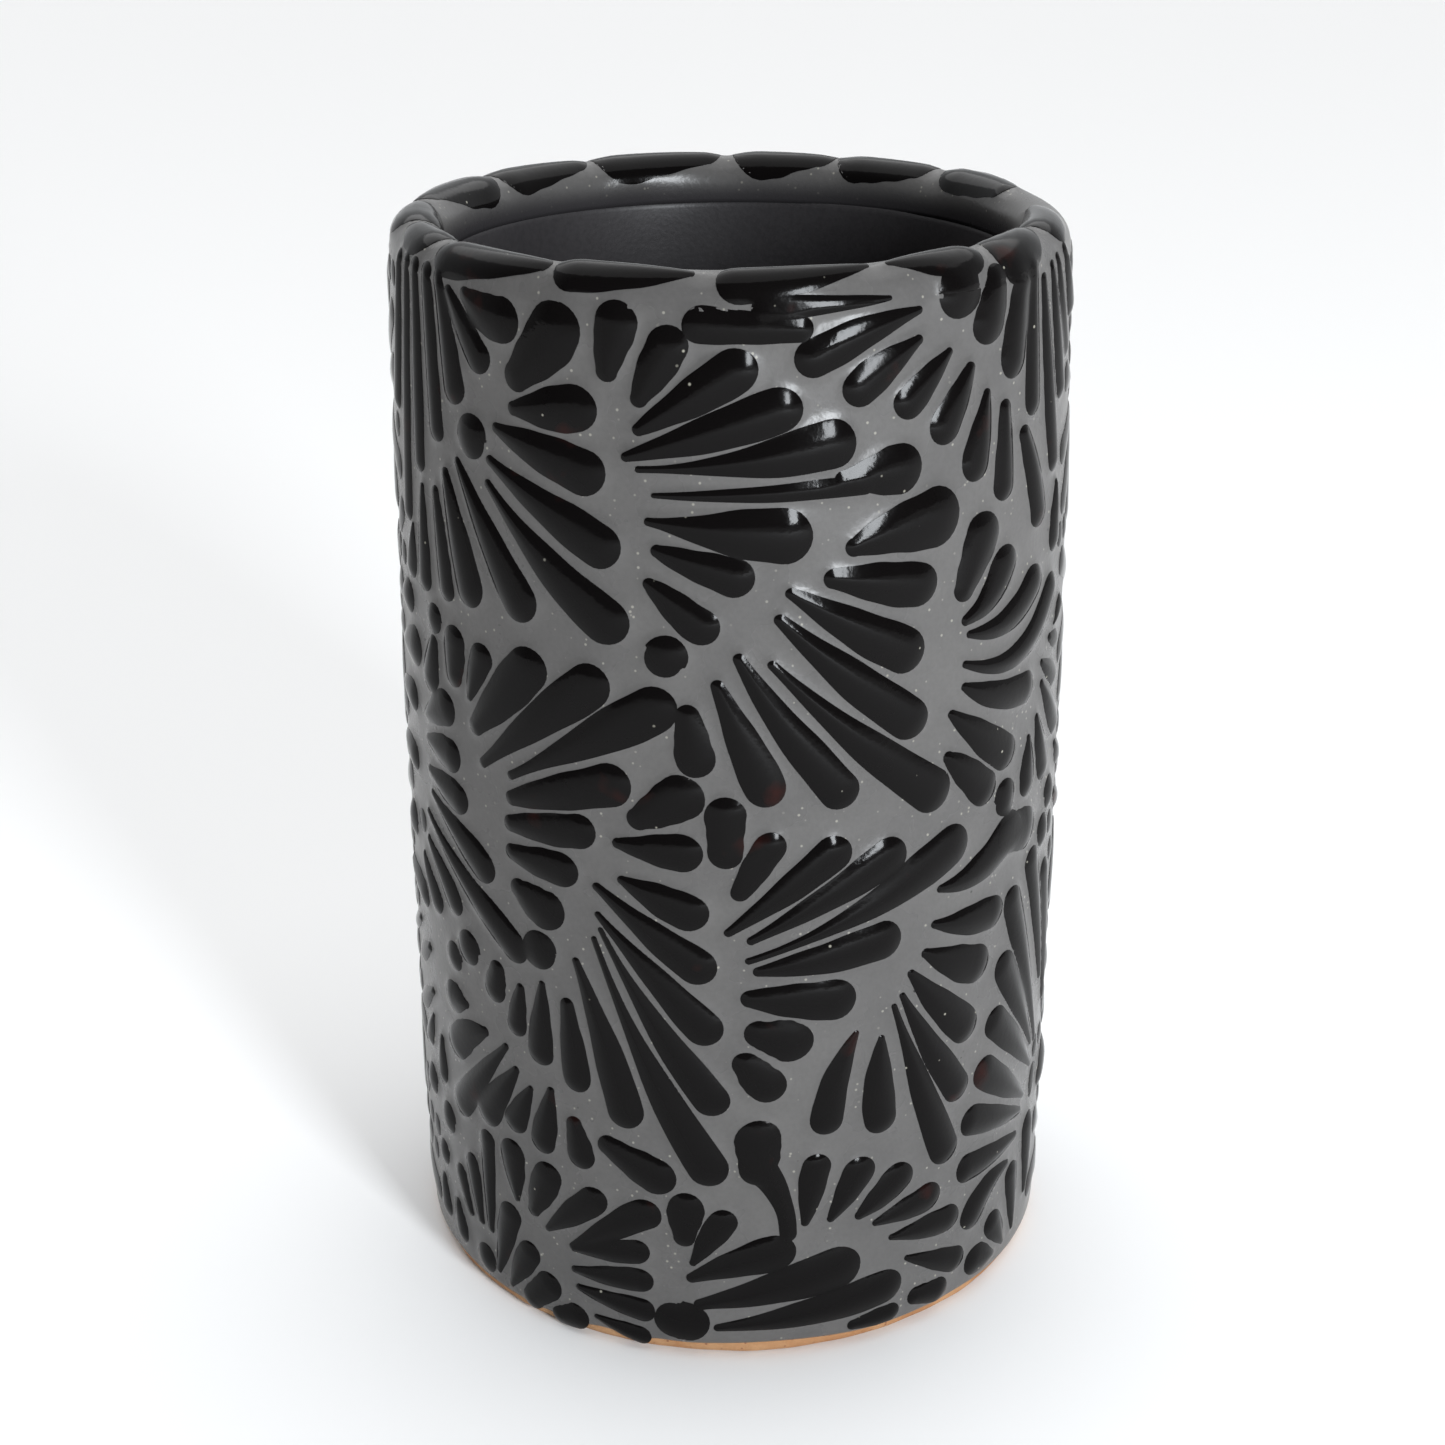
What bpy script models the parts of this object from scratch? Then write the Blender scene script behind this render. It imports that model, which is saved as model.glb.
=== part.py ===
"""A straight handmade talavera vase: a fired clay body, a grey glaze coat outside, a dark glaze coat
inside, and black glaze strokes in relief on the wall and over the lip.

Metres, +Z up, origin at the centre of the foot. Places on the wall are given as an azimuth in degrees
(0 faces -Y, positive towards +X) and a height in millimetres.
"""

import math

import bmesh
import bpy
from mathutils import Vector

MM = 0.001

# Driving dimensions of the vase.
HEIGHT = 151.3 * MM
LIP_WIDTH = 7.3 * MM
GLAZE_THICKNESS = 0.6 * MM
STROKE_THICKNESS = 1.0 * MM
STROKE_EDGE = 0.35 * MM
LAYER_GAP = 0.3 * MM
FLOOR_HEIGHT = 8.0 * MM
FLOOR_FILLET = 5.0 * MM
BARE_FOOT = 1.1 * MM
FOOT_RING_WIDTH = 9.0 * MM
FOOT_RECESS = 1.2 * MM
FOOT_RECESS_SLOPE = 2.0 * MM

# The outside wall is a slightly barrelled cylinder with a softened lower edge.
MOUTH_RADIUS = 45.1 * MM
FOOT_FLARE = 1.1 * MM
BELLY_BULGE = 0.75 * MM
EDGE_ROUNDING = 0.5 * MM
EDGE_ROUNDING_HEIGHT = 1.5 * MM

# How far the outer coat reaches down inside the mouth, measured from the crest of the lip.
COAT_INSIDE_DEPTH = 6.0 * MM

SEGMENTS = 56
LIP_STEPS = 8
FILLET_STEPS = 3
WALL_HEIGHTS = (6.0, 16.0, 40.0, 75.0, 110.0, 132.0)

LIP_RADIUS = LIP_WIDTH / 2
CREST_HEIGHT = HEIGHT - LAYER_GAP - STROKE_THICKNESS
LIP_CENTRE_HEIGHT = CREST_HEIGHT - LIP_RADIUS
LIP_CENTRE_RADIUS = MOUTH_RADIUS - LIP_RADIUS
BORE_RADIUS = MOUTH_RADIUS - LIP_WIDTH

# Cross-sections along a stroke: distance from its round end in end radii, and share of full width.
ROUND_END = ((0.06, 0.28), (0.3, 0.7), (1.0, 1.0))
BLUNT_START = 0.3

# Wall strokes, each as (start azimuth, start height, round end azimuth, round end height, width).
FANS = {
    "shoulder_left_petal": (
        (-39.6, 129.9, -19.2, 125.2, 6.0),
        (-40, 125.1, -17.2, 115.6, 5.2),
        (-40.5, 121.4, -16.6, 105.3, 5.8),
    ),
    "shoulder_mid_petal": (
        (-16.5, 128.2, 10.6, 135.2, 5.4),
        (-12.4, 126.4, 19, 130.2, 5.4),
        (-13.1, 120.6, 12.3, 118.4, 6.4),
    ),
    "waist_right_petal": (
        (8.2, 112, 30.7, 100.8, 5.8),
        (7, 108.2, 31.3, 91.3, 5.6),
        (8, 100, 35.9, 80.4, 5.6),
        (1.2, 103.4, 18.7, 82.9, 5.0),
    ),
    "waist_left_petal": (
        (-46.6, 88.1, -31.2, 101.3, 6.0),
        (-44.7, 83.8, -19.9, 100.5, 5.6),
        (-38.3, 83.6, -8.8, 98, 5.8),
    ),
    "belly_left_petal": (
        (-22.5, 71.4, -3.1, 59.4, 5.0),
        (-21, 66.3, -2.5, 50.1, 4.8),
        (-17, 59.2, -1.9, 39.2, 4.8),
        (-21, 60.6, -2.7, 28.2, 5.0),
    ),
    "belly_mid_petal": (
        (-1.2, 65.7, 18.4, 77.9, 4.9),
        (4.5, 65.4, 28.2, 76.1, 4.8),
        (3.2, 60.3, 27.9, 63.2, 5.6),
    ),
    "belly_right_petal": (
        (28.2, 54.3, 42, 34.7, 4.6),
        (26.8, 51.5, 39.3, 25.3, 4.8),
    ),
    "foot_petal": (
        (-5, 9.2, 21.8, 14.4, 5.6),
        (-2.4, 5.1, 30, 8.9, 4.8),
    ),
}
DOTS = {
    "shoulder_dot": (-44.5, 127.8, 5.6),
    "waist_dot": (-10.1, 103.5, 5.4),
    "foot_dot": (-8.8, 5.9, 6.0),
}
# The back repeats these fans turned upside down.
BACK_FANS = (
    "shoulder_left_petal",
    "waist_right_petal",
    "waist_left_petal",
    "belly_left_petal",
)

# Strokes over the lip, each as (azimuth of the middle, turn on the lip in degrees, length, width).
RIM_STROKES = (
    (10.2, 180, 17.6, 5.6),
    (34.8, 0, 13.2, 6.2),
    (56.2, 195, 13.8, 8.2),
    (78.5, 190, 16.2, 7),
    (119.5, 4, 16.4, 8.4),
    (145.5, 2, 16.4, 8.6),
    (168.5, 0, 15.4, 8.6),
    (195.8, 0, 19.4, 8.6),
    (223.2, 2, 17.4, 8.6),
    (249.2, 184, 18, 8.6),
    (274, -4, 12.8, 8.6),
    (293.2, 3, 11.8, 7.6),
    (317.5, 180, 18.4, 7.2),
    (343, 180, 16.2, 6.2),
)
RIM_STROKE_START = 0.45


def clear_scene():
    for obj in list(bpy.data.objects):
        bpy.data.objects.remove(obj, do_unlink=True)


def make_material(name, colour, roughness):
    material = bpy.data.materials.new(name)
    material.use_nodes = True
    shader = material.node_tree.nodes["Principled BSDF"]
    shader.inputs["Base Color"].default_value = (*colour, 1.0)
    shader.inputs["Roughness"].default_value = roughness
    shader.inputs["Metallic"].default_value = 0.0
    material.diffuse_color = (*colour, 1.0)
    return material


def terracotta():
    return make_material("terracotta", (0.33, 0.162, 0.07), 0.9)


def grey_glaze():
    return make_material("grey_glaze", (0.147, 0.141, 0.138), 0.35)


def dark_glaze():
    return make_material("dark_glaze", (0.034, 0.032, 0.034), 0.3)


def black_glaze():
    return make_material("black_glaze", (0.012, 0.011, 0.011), 0.12)


def wall_radius(height):
    """Radius of the outer glaze surface at a height on the straight wall."""
    share = height / HEIGHT
    flare = FOOT_FLARE * (1 - share)
    bulge = BELLY_BULGE * math.sin(math.pi * share)
    rounding = EDGE_ROUNDING * math.exp(-height / EDGE_ROUNDING_HEIGHT)
    return MOUTH_RADIUS + flare + bulge - rounding


def on_wall(azimuth, height, lift):
    """The point at an azimuth and height, lifted off the outer glaze surface."""
    radius = wall_radius(height) + lift
    return Vector((radius * math.sin(azimuth), -radius * math.cos(azimuth), height))


def on_lip(azimuth, across, lift):
    """The point on the half-round lip, across it outwards from the crest, lifted off the glaze."""
    turn = across / LIP_RADIUS
    radius = LIP_CENTRE_RADIUS + (LIP_RADIUS + lift) * math.sin(turn)
    height = LIP_CENTRE_HEIGHT + (LIP_RADIUS + lift) * math.cos(turn)
    return Vector((radius * math.sin(azimuth), -radius * math.cos(azimuth), height))


def lip_arc(inset, first_turn, last_turn):
    """(radius, height) points over the lip between two turns, inset under the glaze surface."""
    points = []
    for step in range(LIP_STEPS + 1):
        turn = first_turn + (last_turn - first_turn) * step / LIP_STEPS
        radius = LIP_CENTRE_RADIUS + (LIP_RADIUS - inset) * math.sin(turn)
        points.append((radius, LIP_CENTRE_HEIGHT + (LIP_RADIUS - inset) * math.cos(turn)))
    return points


def wall_line(inset, bottom):
    """(radius, height) points up the outside wall from a bottom height, inset under the glaze."""
    heights = [bottom] + [height * MM for height in WALL_HEIGHTS]
    return [(wall_radius(height) - inset, height) for height in heights]


def cup_line(inset):
    """(radius, height) points down the bore and across the floor to the axis, inset into the wall."""
    points = []
    for step in range(FILLET_STEPS + 1):
        turn = math.pi / 2 * step / FILLET_STEPS
        radius = BORE_RADIUS + inset - FLOOR_FILLET * (1 - math.cos(turn))
        points.append((radius, FLOOR_HEIGHT - inset + FLOOR_FILLET * (1 - math.sin(turn))))
    points.append((0.0, FLOOR_HEIGHT - inset))
    return points


def add_object(name, mesh, material):
    obj = bpy.data.objects.new(name, mesh)
    bpy.context.scene.collection.objects.link(obj)
    mesh.materials.append(material)
    mesh.shade_smooth()
    mesh.set_sharp_from_angle(angle=math.radians(40))
    return obj


def turned(name, profile, material):
    """Spins a closed (radius, height) profile about the Z axis."""
    shape = bmesh.new()
    verts = [shape.verts.new((radius, 0.0, height)) for radius, height in profile]
    edges = []
    for start, end in zip(verts, verts[1:] + verts[:1]):
        if start.co.x > 0 or end.co.x > 0:
            edges.append(shape.edges.new((start, end)))
    bmesh.ops.spin(
        shape,
        geom=verts + edges,
        axis=(0, 0, 1),
        cent=(0, 0, 0),
        angle=2 * math.pi,
        steps=SEGMENTS,
        use_merge=True,
    )
    bmesh.ops.remove_doubles(shape, verts=shape.verts, dist=1e-6)
    bmesh.ops.recalc_face_normals(shape, faces=shape.faces)
    mesh = bpy.data.meshes.new(name)
    shape.to_mesh(mesh)
    shape.free()
    return add_object(name, mesh, material)


def make_clay_body(material):
    """Wall, floor and bare foot, with a shallow recess inside the foot ring."""
    inset = GLAZE_THICKNESS + LAYER_GAP
    foot_radius = wall_radius(0.0)
    ring_inside = foot_radius - FOOT_RING_WIDTH
    recess = [(0.0, FOOT_RECESS), (ring_inside - FOOT_RECESS_SLOPE, FOOT_RECESS)]
    foot = [(ring_inside, 0.0), (foot_radius - inset, 0.0)]
    wall = wall_line(inset, BARE_FOOT)
    lip = lip_arc(inset, math.pi / 2, -math.pi / 2)
    turned("clay_body", recess + foot + wall + lip + cup_line(inset), material)


def make_outer_glaze(material):
    """The grey coat: up the wall, over the lip and a little way down inside the mouth."""
    bottom = BARE_FOOT + LAYER_GAP
    end_height = CREST_HEIGHT - COAT_INSIDE_DEPTH
    outside = wall_line(0.0, bottom) + lip_arc(0.0, math.pi / 2, -math.pi / 2)
    outside.append((BORE_RADIUS, end_height))
    inside = wall_line(GLAZE_THICKNESS, bottom)
    inside += lip_arc(GLAZE_THICKNESS, math.pi / 2, -math.pi / 2)
    inside.append((BORE_RADIUS + GLAZE_THICKNESS, end_height))
    turned("outer_glaze", outside + inside[::-1], material)


def make_liner_glaze(material):
    """The dark coat: an open cup that lines the bore and the floor."""
    top = CREST_HEIGHT - COAT_INSIDE_DEPTH - LAYER_GAP
    inside = [(BORE_RADIUS, top)] + cup_line(0.0)
    outside = [(BORE_RADIUS + GLAZE_THICKNESS, top)] + cup_line(GLAZE_THICKNESS)
    turned("liner_glaze", inside + outside[::-1], material)


def stroke_sections(length, width, start_share):
    """(distance along, half width, share of full thickness) of a stroke's cross-sections."""
    end_radius = width / 2
    sections = [(0.0, end_radius * start_share * 0.5, 0.5), (length * 0.12, end_radius * start_share, 0.7)]
    straight = length - end_radius
    for share in (0.4, 0.7):
        taper = start_share + (1 - start_share) * share
        sections.append((straight * share, end_radius * taper, 0.75 + 0.25 * share))
    for back, across in reversed(ROUND_END):
        sections.append((length - back * end_radius, end_radius * across, across**0.5))
    return sections


def make_stroke(name, sections, place, columns, material):
    """A bead of glaze laid on a surface: place(along, across, lift) puts its points there."""
    shape = bmesh.new()
    rings = []
    for along, half_width, thickness_share in sections:
        ring = []
        for column in range(columns):
            across = half_width * (2 * column / (columns - 1) - 1)
            ring.append(shape.verts.new(place(along, across, LAYER_GAP)))
        for column in reversed(range(columns)):
            side = 2 * column / (columns - 1) - 1
            dome = STROKE_EDGE + (STROKE_THICKNESS * thickness_share - STROKE_EDGE) * (1 - side**2)
            ring.append(shape.verts.new(place(along, half_width * side, LAYER_GAP + dome)))
        rings.append(ring)
    for ring, following in zip(rings, rings[1:]):
        for i in range(len(ring)):
            j = (i + 1) % len(ring)
            shape.faces.new((ring[i], ring[j], following[j], following[i]))
    shape.faces.new(rings[0])
    shape.faces.new(rings[-1])
    bmesh.ops.recalc_face_normals(shape, faces=shape.faces)
    bmesh.ops.triangulate(shape, faces=shape.faces)
    mesh = bpy.data.meshes.new(name)
    shape.to_mesh(mesh)
    shape.free()
    return add_object(name, mesh, material)


def make_wall_stroke(name, stroke, material):
    """A petal from its narrow start to its round end, across the wall's own curve."""
    start_azimuth, start_height, end_azimuth, end_height, width = stroke
    start = Vector((math.radians(start_azimuth) * MOUTH_RADIUS, start_height * MM))
    end = Vector((math.radians(end_azimuth) * MOUTH_RADIUS, end_height * MM))
    heading = (end - start).normalized()
    side = Vector((-heading.y, heading.x))

    def place(along, across, lift):
        spot = start + heading * along + side * across
        return on_wall(spot.x / MOUTH_RADIUS, spot.y, lift)

    sections = stroke_sections((end - start).length, width * MM, BLUNT_START)
    make_stroke(name, sections, place, 3, material)


def make_dot(name, azimuth, height, diameter, material):
    """A round dab of glaze: a stroke as long as it is wide."""
    radius = diameter / 2 * MM
    centre = Vector((math.radians(azimuth) * MOUTH_RADIUS, height * MM))

    def place(along, across, lift):
        spot = centre + Vector((along - radius, across))
        return on_wall(spot.x / MOUTH_RADIUS, spot.y, lift)

    sections = []
    for angle in (15, 45, 90, 135, 165):
        half_width = radius * math.sin(math.radians(angle))
        along = radius * (1 - math.cos(math.radians(angle)))
        sections.append((along, half_width, math.sin(math.radians(angle)) ** 0.5))
    make_stroke(name, sections, place, 3, material)


def make_rim_stroke(name, stroke, material):
    """A stroke that lies along the lip and drapes over it to both sides."""
    azimuth, turn, length, width = stroke
    middle = math.radians(azimuth)
    heading = Vector((math.cos(math.radians(turn)), math.sin(math.radians(turn))))
    side = Vector((-heading.y, heading.x))

    def place(along, across, lift):
        spot = heading * (along - length * MM / 2) + side * across
        return on_lip(middle + spot.x / LIP_CENTRE_RADIUS, spot.y, lift)

    sections = stroke_sections(length * MM, width * MM, RIM_STROKE_START)
    make_stroke(name, sections, place, 5, material)


def turned_upside_down(stroke):
    """The same stroke on the back of the vase, turned by half a turn in the surface."""
    start_azimuth, start_height, end_azimuth, end_height, width = stroke
    top = HEIGHT / MM
    return (180 - start_azimuth, top - start_height, 180 - end_azimuth, top - end_height, width)


def make_wall_strokes(material):
    for fan, petals in FANS.items():
        for number, petal in enumerate(petals, start=1):
            make_wall_stroke(f"{fan}_{number}", petal, material)
    for fan in BACK_FANS:
        for number, petal in enumerate(FANS[fan], start=1):
            make_wall_stroke(f"back_{fan}_{number}", turned_upside_down(petal), material)
    for name, (azimuth, height, diameter) in DOTS.items():
        make_dot(name, azimuth, height, diameter, material)


def make_rim_strokes(material):
    for number, stroke in enumerate(RIM_STROKES, start=1):
        make_rim_stroke(f"rim_stroke_{number:02d}", stroke, material)


def main():
    clear_scene()
    make_clay_body(terracotta())
    make_outer_glaze(grey_glaze())
    make_liner_glaze(dark_glaze())
    strokes = black_glaze()
    make_wall_strokes(strokes)
    make_rim_strokes(strokes)


main()
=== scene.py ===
"""Looks of the talavera vase: a terracotta body, a grey glaze coat outside, a coat inside painted dark as
painted shade, and black glaze strokes in relief, laid in fans of petals with dots between them.

Places on the wall are an azimuth in degrees (0 faces -Y, positive towards +X) and a height in
millimetres. The glaze surface is worked on as one unrolled sheet in millimetres: u runs round the
vase and v runs up the wall, over the lip and down inside the mouth.
"""

import math
from typing import NamedTuple

import bpy
import numpy as np
from mathutils import Matrix, Vector


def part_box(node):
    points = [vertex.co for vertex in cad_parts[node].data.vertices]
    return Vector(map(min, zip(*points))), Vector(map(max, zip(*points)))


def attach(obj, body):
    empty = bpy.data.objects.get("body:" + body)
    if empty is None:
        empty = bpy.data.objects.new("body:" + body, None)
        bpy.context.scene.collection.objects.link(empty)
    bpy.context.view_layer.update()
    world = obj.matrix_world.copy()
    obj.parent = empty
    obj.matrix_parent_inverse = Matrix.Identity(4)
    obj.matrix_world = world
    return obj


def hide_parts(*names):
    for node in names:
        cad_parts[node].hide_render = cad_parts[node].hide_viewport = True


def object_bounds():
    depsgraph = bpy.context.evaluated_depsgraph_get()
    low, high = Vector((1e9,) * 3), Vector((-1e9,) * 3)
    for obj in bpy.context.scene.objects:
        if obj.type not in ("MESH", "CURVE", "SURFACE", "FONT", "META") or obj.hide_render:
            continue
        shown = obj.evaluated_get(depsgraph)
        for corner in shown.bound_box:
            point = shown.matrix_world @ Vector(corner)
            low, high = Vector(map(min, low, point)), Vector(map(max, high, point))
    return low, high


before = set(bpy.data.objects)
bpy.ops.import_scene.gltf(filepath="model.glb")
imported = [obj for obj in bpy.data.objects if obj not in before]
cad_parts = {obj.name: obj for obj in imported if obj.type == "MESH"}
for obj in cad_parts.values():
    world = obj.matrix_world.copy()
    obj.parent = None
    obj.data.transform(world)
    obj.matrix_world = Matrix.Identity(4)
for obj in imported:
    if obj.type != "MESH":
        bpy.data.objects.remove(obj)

cad_low, cad_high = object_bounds()

MM = 0.001

# The wall and lip of the vase, in millimetres, on the frame's own height and bore.
HEIGHT = cad_high.z / MM
GLAZE_THICKNESS = 0.6
LAYER_GAP = 0.3
LIP_WIDTH = 7.3
FOOT_FLARE = 1.1
BELLY_BULGE = 0.75
EDGE_ROUNDING = 0.5
EDGE_ROUNDING_HEIGHT = 1.5
CREST_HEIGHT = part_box("outer_glaze")[1].z / MM
GLAZE_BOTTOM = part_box("outer_glaze")[0].z / MM
BORE_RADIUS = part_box("liner_glaze")[1].x / MM - GLAZE_THICKNESS
MOUTH_RADIUS = BORE_RADIUS + LIP_WIDTH
LIP_RADIUS = LIP_WIDTH / 2
LIP_CENTRE_RADIUS = MOUTH_RADIUS - LIP_RADIUS
LIP_CENTRE_HEIGHT = CREST_HEIGHT - LIP_RADIUS
LINER_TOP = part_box("liner_glaze")[1].z / MM
FLOOR_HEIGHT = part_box("liner_glaze")[0].z / MM + GLAZE_THICKNESS
FLOOR_FILLET = 5.0

# The sheet: its width, and the heights v at which the lip, the crest and the bore begin.
SHEET_WIDTH = 2 * math.pi * MOUTH_RADIUS
LIP_START = LIP_CENTRE_HEIGHT
CREST = LIP_START + LIP_RADIUS * math.pi / 2
BORE_START = LIP_START + LIP_RADIUS * math.pi
COAT_END = BORE_START + LIP_CENTRE_HEIGHT - LINER_TOP - LAYER_GAP

# The camera, from the middle of the foot: how far in front, how high, and how it is turned.
CAMERA_DISTANCE = 0.3219
CAMERA_HEIGHT = 0.2074
CAMERA_PITCH = math.radians(22.19)
CAMERA_YAW = math.radians(0.24)
CAMERA_ROLL = math.radians(-0.28)
CAMERA_LENS = 59.97

# Relief of the strokes: its height, the radius from which a stroke has all of it, how steeply
# smaller ones lose it, the share at a stroke's edge, and how far the glaze rises round a stroke.
RELIEF = 0.9
FULL_RELIEF_RADIUS = 2.6
RELIEF_POWER = 0.8
RELIEF_SHARE = 0.97
EDGE_SHARE = 0.32
RELIEF_REACH = 3.0
STROKE_LIFT = 0.05
STROKE_DEPTH = 0.35
GROUND_DIP = 0.3


class Stroke(NamedTuple):
    """A petal from the tip of its narrow root to the tip of its round end, and its full width.

    root is the root's share of the full width, power is how late the petal widens, and bend is how
    far its middle bows to the left of its heading, in millimetres.
    """

    start_azimuth: float
    start_height: float
    end_azimuth: float
    end_height: float
    width: float
    root: float = 0.24
    power: float = 1.0
    bend: float = 0.0


def dot(azimuth, height, width, turn=90.0, stretch=1.12):
    """A dab of glaze, a little longer than wide along its turn in degrees."""
    half = stretch * width / 2
    across = math.degrees(half * math.cos(math.radians(turn)) / MOUTH_RADIUS)
    up = half * math.sin(math.radians(turn))
    return Stroke(azimuth - across, height - up, azimuth + across, height + up, width, 0.9)


# Petals and dots that each stand for a CAD node, in the nodes' order.
PETALS = {
    "shoulder_left_petal": (
        Stroke(-39.6, 129.9, -19.2, 125.2, 6.1),
        Stroke(-41, 125.7, -17.2, 115.6, 5.8, 0.24, 1.2),
        Stroke(-41.5, 122.7, -16.6, 105.3, 6.2, 0.2, 1.5, -0.5),
    ),
    "shoulder_mid_petal": (
        Stroke(-16.5, 128.2, 10.6, 135.2, 5.6, 0.22),
        Stroke(-14.4, 126.9, 19, 130.2, 6.2, 0.14, 2.3, -0.4),
        Stroke(-13.1, 120.6, 12.3, 118.4, 7, 0.16, 1.4),
    ),
    "waist_right_petal": (
        Stroke(8.2, 112, 30.7, 100.8, 6),
        Stroke(6.6, 108.8, 31.3, 91.3, 5.8, 0.28, 1.1, -0.3),
        Stroke(5.6, 102.9, 35.9, 80.4, 6, 0.2, 1.5, -0.5),
        Stroke(0.6, 104, 18.7, 82.9, 5.2, 0.3, 1.1, -0.5),
    ),
    "waist_left_petal": (
        Stroke(-46.6, 88.1, -31.2, 101.3, 6.3, 0.45, 0.9),
        Stroke(-44.7, 83.8, -19.9, 100.5, 6, 0.24, 1.4),
        Stroke(-38.3, 83.6, -8.8, 98, 6.4, 0.2, 1.9),
    ),
    "belly_left_petal": (
        Stroke(-22.5, 71.4, -3.1, 59.4, 5, 0.24, 1.3),
        Stroke(-22.2, 67.4, -2.5, 50.1, 5, 0.18, 1.5, 0.1),
        Stroke(-21.6, 65.3, -1.9, 39.2, 5, 0.16, 2.1, -0.6),
        Stroke(-22.8, 63.8, -2.7, 28.2, 5.5, 0.16, 2.4, -0.9),
    ),
    "belly_mid_petal": (
        Stroke(-1.2, 65.7, 18.4, 77.9, 4.9, 0.24, 1.3),
        Stroke(2.3, 64.6, 28.2, 76.1, 5.2, 0.22, 1.3),
        Stroke(3.2, 60.3, 27.9, 63.2, 5.6, 0.26),
    ),
    "belly_right_petal": (
        Stroke(28.2, 54.3, 42, 34.7, 4.7, 0.2, 1.2, -0.3),
        Stroke(26.8, 53, 39.3, 25.3, 5, 0.16, 1.6, -0.2),
    ),
    "foot_petal": (
        Stroke(-6.7, 8.8, 21.8, 14.4, 6.6, 0.26, 1.1),
        Stroke(-3.4, 5.1, 30, 8.9, 5.7, 0.22, 1.1),
    ),
}
DOTS = {
    "shoulder_dot": dot(-44.5, 127.8, 5.6, 90, 1.04),
    "waist_dot": dot(-10.1, 103.5, 5.4, 60, 1.04),
    "foot_dot": dot(-8.8, 5.9, 6.4, 0, 1.18),
}

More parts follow.
